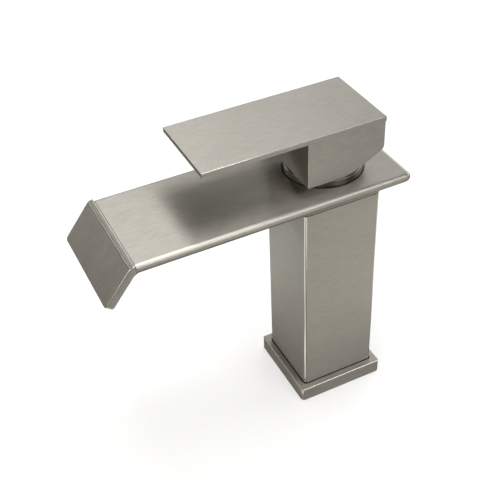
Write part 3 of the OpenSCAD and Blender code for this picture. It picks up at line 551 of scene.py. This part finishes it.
# %% Hollow, socket and set screw hole
def drill(name, radius, depth, matrix):
    """A round cutter that starts at the origin and runs along Z, moved by the matrix."""
    bm = bmesh.new()
    bmesh.ops.create_cone(bm, cap_ends=True, segments=64, radius1=radius, radius2=radius, depth=depth,
                          matrix=matrix @ Matrix.Translation((0, 0, depth / 2)))
    return object_of(bm, name)


def take_away(piece, cutters):
    """Cut the cutters out of the piece, then put them away."""
    for cutter in cutters:
        modifier = piece.modifiers.new(cutter.name, "BOOLEAN")
        modifier.operation, modifier.solver, modifier.object = "DIFFERENCE", "EXACT", cutter
    settle(piece)
    for cutter in cutters:
        bpy.data.objects.remove(cutter)


# The pivot is the height about which the lever lifts. The screw and its plug share an axis.
pivot_z, socket_half, socket_h = 139.0, 3.66, 20.05
hollow_r, hollow_low, hollow_top = 14.5, 140.0, pivot_z + 9.5
screw_hole_r, screw_hole_deep, plug_hole_r, plug_hole_deep = 2.51, 22.0, 3.31, 4.0
from_rear = Matrix.Translation((0, 22.0, pivot_z + 16.8)) @ Matrix.Rotation(math.radians(90), 4, "X")
socket = cube_between((-socket_half, -socket_half, pivot_z),
                      (socket_half, socket_half, pivot_z + socket_h))
take_away(lever, [
    drill("hollow", hollow_r, hollow_top - hollow_low, Matrix.Translation((0, 0, hollow_low))),
    object_of(socket, "socket"),
    drill("screw hole", screw_hole_r, screw_hole_deep, from_rear),
    drill("plug hole", plug_hole_r, plug_hole_deep, from_rear),
])
lever.data.materials.append(brushed_nickel)
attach(lever, "lever")
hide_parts("handle")
print("handle with its holes:", len(lever.data.polygons), "faces")

# %% [markdown]
# ## The spout's cover
# The top half of the spout is one plate. Its long edges and its rear edge are half of a full
# round, which the tray below completes. Its front edge, beside the slot where the water comes
# out, is only broken. The plate is a cuboid whose edges are bevelled one width at a time, the
# upright rear corners first. The holes for the bonnet and the screws are drilled.

# %% Cover plate
low, high = (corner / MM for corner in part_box("spout_cover"))
top_z, thick = high.z, high.z - low.z
rear_corner_r, front_edge_r = 3.2, 0.3
plate = cube_between(low, high)
rear = edges_where(plate, lambda m, d: is_upright(d) and m.y > high.y - 0.01)
round_edges(plate, rear, rear_corner_r, 8)
sides = edges_where(plate, lambda m, d: m.z > top_z - 0.01 and m.y > low.y + 0.01)
round_edges(plate, sides, thick - 0.01, 9)
front = edges_where(plate, lambda m, d: m.y < low.y + 0.01 and m.z > low.z + 0.02)
round_edges(plate, front, front_edge_r, 2)
bmesh.ops.recalc_face_normals(plate, faces=plate.faces[:])
cover = object_of(plate, "cover_plate")
neck_hole_r, neck_hole_h, screw_hole_r, screw_hole_h = 16.6, 6.0, 1.35, 2.6
screw_x, screw_ys, below_plate = 22.95, (22.0, -30.0, -74.15), low.z - 1.0
take_away(cover, [drill("neck hole", neck_hole_r, neck_hole_h, Matrix.Translation((0, 0, below_plate)))] + [
    drill("screw hole", screw_hole_r, screw_hole_h, Matrix.Translation((x, y, below_plate)))
    for y in screw_ys for x in (-screw_x, screw_x)])
cover.data.materials.append(soft_edged_nickel)
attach(cover, "fixed")
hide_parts("spout_cover")
print("cover plate:", len(cover.data.polygons), "faces, top at", round(top_z, 2))

# %% [markdown]
# ## The bead round the foot
# The column stands in a shallow recess of the flange. A thin black bead fills the gap between
# them and shows as a dark line round the foot: painted shade, standing in for the shade in that
# gap. It is a flat frame: a low block with rounded corners, whose middle has been taken away.

# %% Foot bead
column_low, column_high = (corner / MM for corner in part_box("column_body"))
flange_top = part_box("base_flange")[1].z / MM
column_corner_r, bead_w, bead_edge_r, overlap = 1.2, 0.55, 0.15, 0.05
bead_low, bead_high = flange_top - 0.6, flange_top + 0.22
outside = cube_between((column_low.x - bead_w, column_low.y - bead_w, bead_low),
                       (column_high.x + bead_w, column_high.y + bead_w, bead_high))
round_edges(outside, edges_where(outside, lambda m, d: is_upright(d)), column_corner_r + bead_w, 6)
round_edges(outside, edges_where(outside, lambda m, d: m.z > bead_high - 0.01), bead_edge_r, 3)
bead = object_of(outside, "foot_shade_bead")
inside = cube_between((column_low.x + overlap, column_low.y + overlap, 0.0),
                      (column_high.x - overlap, column_high.y - overlap, bead_high * 2))
round_edges(inside, edges_where(inside, lambda m, d: is_upright(d)), column_corner_r - overlap, 6)
take_away(bead, [object_of(inside, "inside")])
# The bead is black as painted shade, for the dark gap round the foot.
bead.data.materials.append(black_rubber)
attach(bead, "fixed")
print("foot bead:", len(bead.data.polygons), "faces at", round(flange_top, 2))

# %% [markdown]
# ## The lip
# The lip is a flat plate that leans down from the front of the spout. Its sides are square and
# only its edges are broken, and the two lower corners are rounded. Above the bend it carries a
# narrow band that rises a little towards the slot, so that the water runs over it as a sheet.
# It is one block, cut by a plane for each face, and a thin wedge closes the inner corner.

# %% Lip plate
# The crest is where the lip bends. Down runs along the lip, and out is square to its face.
half_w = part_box("spout_lip")[1].x / MM
crest = Vector((0.0, -111.1, 135.45))
down, out = Vector((0.0, -0.6225, -0.7826)), Vector((0.0, -0.7826, 0.6225))
lip_thick, lip_length, ridge_y, ridge_rise = 4.1, 22.1, -108.5, 0.66
corner_r, bend_r, edge_r = 1.9, 0.75, 0.42
tip = crest + down * lip_length
band_out = Vector((0.0, -ridge_rise, ridge_y - crest.y)).normalized()
slab = cube_between((-half_w, -130.0, 110.0), (half_w, ridge_y, 140.0))
for point, normal in ((crest, out), (crest - out * lip_thick, -out), (tip, down), (crest, band_out)):
    cut(slab, point, normal, drop=True)
corners = edges_where(slab, lambda m, d: abs(m.x) > half_w - 0.01 and abs(d.dot(out)) > 0.99
                      and (m - tip).dot(down) > -0.05)
round_edges(slab, corners, corner_r, 8)
bend = edges_where(slab, lambda m, d: abs(d.x) > 0.9 and abs(m.y - crest.y) < 0.01
                   and abs(m.z - crest.z) < 0.01)
round_edges(slab, bend, bend_r, 5)
sharp = [e for e in slab.edges if len(e.link_faces) == 2 and e.calc_face_angle() > math.radians(25)]
round_edges(slab, sharp, edge_r, 4)
fill_x, fill_front, fill_rear, fill_low, fill_high = half_w - 1.4, -111.2, -107.2, 128.6, 130.88
filler = cube_between((-fill_x, fill_front, fill_low), (fill_x, fill_rear, fill_high))
cut(filler, (0.0, fill_rear, fill_high), Vector((0.0, 0.489, -0.872)), drop=True)
wedge = bpy.data.meshes.new("wedge")
filler.to_mesh(wedge)
filler.free()
slab.from_mesh(wedge)
bmesh.ops.recalc_face_normals(slab, faces=slab.faces[:])
lip = object_of(slab, "lip_plate")
lip.data.materials.append(brushed_nickel)
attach(lip, "fixed")
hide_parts("spout_lip")
print("lip plate:", len(lip.data.polygons), "faces")

# %% [markdown]
# ## The ring under the collar
# The bonnet's collar sits on a thin black ring, which shows as a dark line where it meets the
# spout: painted shade, standing in for the shadow in that corner. It is the outline of a small
# rounded profile, spun once round the upright axis. The face inside the outline goes before the
# spin, so that it isn't left across the ring.

# %% Collar ring
collar_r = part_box("bonnet")[1].x / MM
ring_inside, ring_w, ring_h, ring_gap, ring_edge_r = collar_r - 0.2, 0.5, 0.3, 0.02, 0.15
ring = bmesh.new()
first = ring.verts.new((ring_inside, 0.0, top_z + ring_gap))
drawn = bmesh.ops.extrude_vert_indiv(ring, verts=[first])
bmesh.ops.translate(ring, vec=(ring_w, 0.0, 0.0), verts=drawn["verts"])
drawn = bmesh.ops.extrude_edge_only(ring, edges=ring.edges[:])
upper = [v for v in drawn["geom"] if isinstance(v, bmesh.types.BMVert)]
bmesh.ops.translate(ring, vec=(0.0, 0.0, ring_h), verts=upper)
outer = [v for v in upper if v.co.x > collar_r]
bmesh.ops.bevel(ring, geom=outer, offset=ring_edge_r, offset_type="OFFSET", affect="VERTICES",
                segments=3, profile=0.5, material=-1)
bmesh.ops.delete(ring, geom=ring.faces[:], context="FACES_ONLY")
bmesh.ops.spin(ring, geom=ring.edges[:] + ring.verts[:], axis=(0, 0, 1), angle=math.radians(360),
               steps=96, use_merge=True)
bmesh.ops.recalc_face_normals(ring, faces=ring.faces[:])
collar_shade_ring = object_of(ring, "collar_shade_ring")
# The ring is black as painted shade, for the shadow where the collar meets the spout.
collar_shade_ring.data.materials.append(black_rubber)
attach(collar_shade_ring, "fixed")
print("collar ring:", len(collar_shade_ring.data.polygons), "faces")

# %% [markdown]
# ## Smooth faces
# The constructed pieces come as loose triangles. A small geometry node tree merges their
# corners and shades the faces smooth wherever two of them meet at a small angle. The pieces
# made here take the same tree, so that all of them shade alike.

# %% Smooth shading
smooth = bpy.data.node_groups.new("smooth faces", "GeometryNodeTree")
smooth.interface.new_socket("Geometry", in_out="INPUT", socket_type="NodeSocketGeometry")
smooth.interface.new_socket("Geometry", in_out="OUTPUT", socket_type="NodeSocketGeometry")
begin, end = smooth.nodes.new("NodeGroupInput"), smooth.nodes.new("NodeGroupOutput")
corner_gap, crisp_angle = 0.00001, math.radians(25)
merged = add(smooth, "GeometryNodeMergeByDistance", {"Geometry": begin.outputs[0], "Distance": corner_gap})
angle = add(smooth, "GeometryNodeInputMeshEdgeAngle")
crisp = add(smooth, "FunctionNodeCompare", {0: angle.outputs[0], 1: crisp_angle}, operation="GREATER_THAN")
faces = add(smooth, "GeometryNodeSetShadeSmooth",
            {"Geometry": merged.outputs[0], "Shade Smooth": True}, domain="FACE")
edges = add(smooth, "GeometryNodeSetShadeSmooth",
            {"Geometry": faces.outputs[0], "Selection": crisp.outputs[0], "Shade Smooth": False},
            domain="EDGE")
smooth.links.new(edges.outputs[0], end.inputs[0])
pieces = [*nodes.values(), lever, cover, lip, bead, collar_shade_ring]
for piece in pieces:
    modifier = piece.modifiers.new("smooth faces", "NODES")
    modifier.node_group = smooth
    weighted = piece.modifiers.new("weighted", "WEIGHTED_NORMAL")
    weighted.keep_sharp = True
print("smoothed", len(pieces), "pieces")

# %% [markdown]
# ## The floor
# The faucet stands on a pale floor, much wider than the picture. The camera sees it nearly
# white, with the soft shadow of the faucet. A little of its own light lifts it for the camera
# alone, so that no lamp has to be turned up for it.

# %% Floor
def studio_piece(bm, name, paint):
    """Make an object of the mesh that belongs to the studio and not to the faucet."""
    mesh = bpy.data.meshes.new(name)
    bm.to_mesh(mesh)
    bm.free()
    mesh.materials.append(paint)
    made = bpy.data.objects.new(name, mesh)
    bpy.context.scene.collection.objects.link(made)
    return made


def sheet_of(name, half_width, half_depth, matrix, paint):
    """A flat rectangle of the studio, with its paint."""
    bm = bmesh.new()
    bmesh.ops.create_grid(bm, x_segments=1, y_segments=1, size=1.0)
    bmesh.ops.scale(bm, vec=(half_width, half_depth, 1.0), verts=bm.verts)
    bmesh.ops.transform(bm, matrix=matrix, verts=bm.verts)
    return studio_piece(bm, name, paint)


floor_half, shade_in_light, shade_for_camera, own_light = 3.0, 0.95, 0.6, 0.45
floor_paint = bpy.data.materials.new("floor paint")
floor_paint.use_nodes = True
tree = floor_paint.node_tree
shader = tree.nodes["Principled BSDF"]
shader.inputs["Roughness"].default_value = 0.9
shader.inputs["Specular IOR Level"].default_value = 0.0
by_camera = add(tree, "ShaderNodeLightPath").outputs["Is Camera Ray"]
seen = add(tree, "ShaderNodeMix", {0: by_camera, 2: shade_in_light, 3: shade_for_camera}, data_type="FLOAT")
speck = add(tree, "ShaderNodeTexNoise", {"Scale": 900.0})
grey = add(tree, "ShaderNodeMapRange", {0: speck.outputs[0], 3: 0.985, 4: 1.0})
tone = plain_math("MULTIPLY", seen.outputs[0], grey.outputs[0], tree=tree)
tree.links.new(tone, shader.inputs["Base Color"])
shader.inputs["Emission Color"].default_value = (1.0, 1.0, 1.0, 1.0)
lift = plain_math("MULTIPLY", by_camera, own_light, tree=tree)
tree.links.new(lift, shader.inputs["Emission Strength"])
floor = sheet_of("floor", floor_half, floor_half, Matrix.Identity(4), floor_paint)
print(floor.name, "is", floor_half * 2, "m wide and adds", own_light, "of its own light for the camera")

# %% [markdown]
# ## What the metal sees
# Metal shows its surroundings more than its own colour. The room is kept dark, as in a
# photographer's tent, and a few curved cards stand in it. The camera doesn't see them. Each
# one is part of a ball round the faucet: an arc spun about the upright axis. The cards in front
# and to the right are a little warmer than the others. A card's four angles are the heading of
# its middle, its width, and the heights of its lower and upper edge. Its level follows them.

# %% Reflection cards
WHITE, WARM = (1.0, 1.0, 1.0, 1.0), (1.0, 0.965, 0.92, 1.0)


def level_paint(name, level, tint=WHITE):
    """A paint that glows evenly, plain white or a little warmer."""
    paint = bpy.data.materials.new(name)
    paint.use_nodes = True
    tree = paint.node_tree
    tree.nodes.remove(tree.nodes["Principled BSDF"])
    lamp = add(tree, "ShaderNodeEmission", {"Color": tint, "Strength": level})
    tree.links.new(lamp.outputs[0], tree.nodes["Material Output"].inputs["Surface"])
    return paint


def curved_card(name, middle, width, low, high, level, radius=3.0, tint=WHITE):
    """Part of a ball between two headings and two heights above the floor, in degrees."""
    bm = bmesh.new()
    heading = Matrix.Rotation(math.radians(middle - width / 2), 4, "Z")
    tilt = Matrix.Rotation(math.radians(-low), 4, "X")
    first = bm.verts.new(heading @ tilt @ Vector((0.0, -radius, 0.0)))
    side = heading @ Vector((-1.0, 0.0, 0.0))
    bmesh.ops.spin(bm, geom=[first], axis=side, angle=math.radians(high - low), steps=12)
    bmesh.ops.spin(bm, geom=bm.verts[:] + bm.edges[:], axis=(0, 0, 1), angle=math.radians(width), steps=24)
    made = studio_piece(bm, name, level_paint(name, level, tint))
    made.visible_camera = False
    return made


cards = [
    curved_card("room", 0.0, 360.0, 0.0, 90.0, 0.02, radius=3.1),
    curved_card("front_low_card", 22.5, 90.0, 0.0, 15.0, 0.35, tint=WARM),
    curved_card("front_card", 22.5, 90.0, 15.0, 52.0, 1.9, tint=WARM),
    curved_card("right_card", 112.5, 90.0, 0.0, 15.0, 1.15, tint=WARM),
    curved_card("rear_card", 202.5, 90.0, 12.0, 33.0, 2.8),
    curved_card("upper_card", 247.5, 90.0, 52.0, 72.0, 1.5),
    curved_card("right_strip", 117.0, 38.0, 34.0, 52.0, 3.8, radius=2.9),
    curved_card("left_strip", 299.0, 18.0, 25.0, 34.0, 7.0, radius=2.9),
]
print("cards:", [card.name for card in cards])

# %% [markdown]
# ## The table top that the metal mirrors, as a painted reflection
# The column and the undersides mirror the table near the faucet. In the picture it is dark
# close to the foot, where the faucet shades it, brightest some way out, and darker again beyond.
# A sheet just above the floor glows in rings of those levels as a painted reflection of the
# table and of that shade, and only reflections see it. A dim card beside the spout paints shade
# into the lower half of its side, and a narrow one that runs out from the foot paints a
# highlight on the near upright edges.

# %% Table top in reflections
def pool_paint(name, levels):
    """A glow that changes with the distance from the middle, as pairs of metres and level."""
    paint = level_paint(name, 2.0)
    tree = paint.node_tree
    where = add(tree, "ShaderNodeTexCoord")
    away = add(tree, "ShaderNodeVectorMath", {0: where.outputs["Object"]}, operation="LENGTH")
    far = levels[-1][0]
    spot = add(tree, "ShaderNodeMapRange", {0: away.outputs["Value"], 2: far})
    ramp = add(tree, "ShaderNodeValToRGB", {0: spot.outputs[0]})
    ramp.color_ramp.interpolation = "EASE"
    stops = ramp.color_ramp.elements
    for k, (metres, level) in enumerate(levels):
        stop = stops[k] if k < 2 else stops.new(metres / far)
        stop.position = metres / far
        green, blue = (1.0, 0.96) if level > 1.0 else (0.96, 0.88)
        stop.color = (level / 2, level / 2 * green, level / 2 * blue, 1.0)
    tree.links.new(ramp.outputs[0], tree.nodes["Emission"].inputs["Color"])
    return paint


pool = pool_paint("table top", [(0.0, 0.3), (0.07, 0.32), (0.11, 1.4), (0.18, 1.4), (0.24, 0.35),
                                (0.4, 0.25), (0.5, 0.02)])
near_pool = pool_paint("near pool", [(0.0, 0.9), (0.045, 0.9), (0.06, 1.8), (0.11, 1.0), (0.15, 0.6),
                                     (0.19, 1.0), (0.21, 5.0), (0.26, 5.0)])
beside_spout = Matrix.Translation((0.078, -0.1, 0.0009))
along_edges = Matrix.Rotation(math.radians(24.5), 4, "Z") @ Matrix.Translation((0.0, -0.15, 0.0012))
# These sheets glow as painted reflection: the lit table with the faucet's shade near the foot, painted shade
# on the spout's side, and a painted highlight on the near upright edges.
sheets = [
    sheet_of("table_top", 3.1, 3.1, Matrix.Translation((0, 0, 0.0006)), pool),
    sheet_of("shade_card", 0.052, 0.09, beside_spout, level_paint("shade card", 0.25, WARM)),
    sheet_of("near_card", 0.018, 0.115, along_edges, near_pool),
]
for sheet in sheets:
    sheet.visible_camera = sheet.visible_diffuse = sheet.visible_shadow = False
print("sheets:", [sheet.name for sheet in sheets])

# %% [markdown]
# ## Light
# One large softbox hangs over the faucet. It lights the tops and lays the soft shadow on the
# floor. The sky beyond the dark room is plain white, and is set lower as a lamp than it looks.

# %% Soft light
def softbox(name, place, target, width, height, radiance):
    """A lamp with a flat bright face. A mirror would show it at this brightness."""
    data = bpy.data.lights.new(name, "AREA")
    data.shape = "RECTANGLE"
    data.size, data.size_y = width, height
    data.energy = radiance * math.pi * width * height
    made = bpy.data.objects.new(name, data)
    place, target = Vector(place), Vector(target)
    made.location = place
    made.rotation_euler = (target - place).to_track_quat("-Z", "Y").to_euler()
    bpy.context.scene.collection.objects.link(made)
    return made


overhead = softbox("overhead", (0.0, 0.0, 1.15), (0, 0, 0), width=0.66, height=0.66, radiance=4.7)
world = bpy.data.worlds.new("studio")
bpy.context.scene.world = world
world.use_nodes = True
tree = world.node_tree
sky = tree.nodes["Background"]
sky_as_lamp, sky_as_seen = 0.55, 1.0
rays = add(tree, "ShaderNodeLightPath").outputs
direct = plain_math("MAXIMUM", rays["Is Camera Ray"], rays["Is Glossy Ray"], tree=tree)
direct = plain_math("MAXIMUM", direct, rays["Is Transmission Ray"], tree=tree)
strength = add(tree, "ShaderNodeMix", {0: direct, 2: sky_as_lamp, 3: sky_as_seen}, data_type="FLOAT")
tree.links.new(strength.outputs[0], sky.inputs["Strength"])
sky.inputs["Color"].default_value = (1.0, 1.0, 1.0, 1.0)
print("lamp:", overhead.name, "at", round(overhead.data.energy, 2), "W, and a white sky")

# %% [markdown]
# ## Finish
# The picture keeps plain colours, without a film look.

# %% Finish
bpy.context.scene.view_settings.view_transform = "Standard"
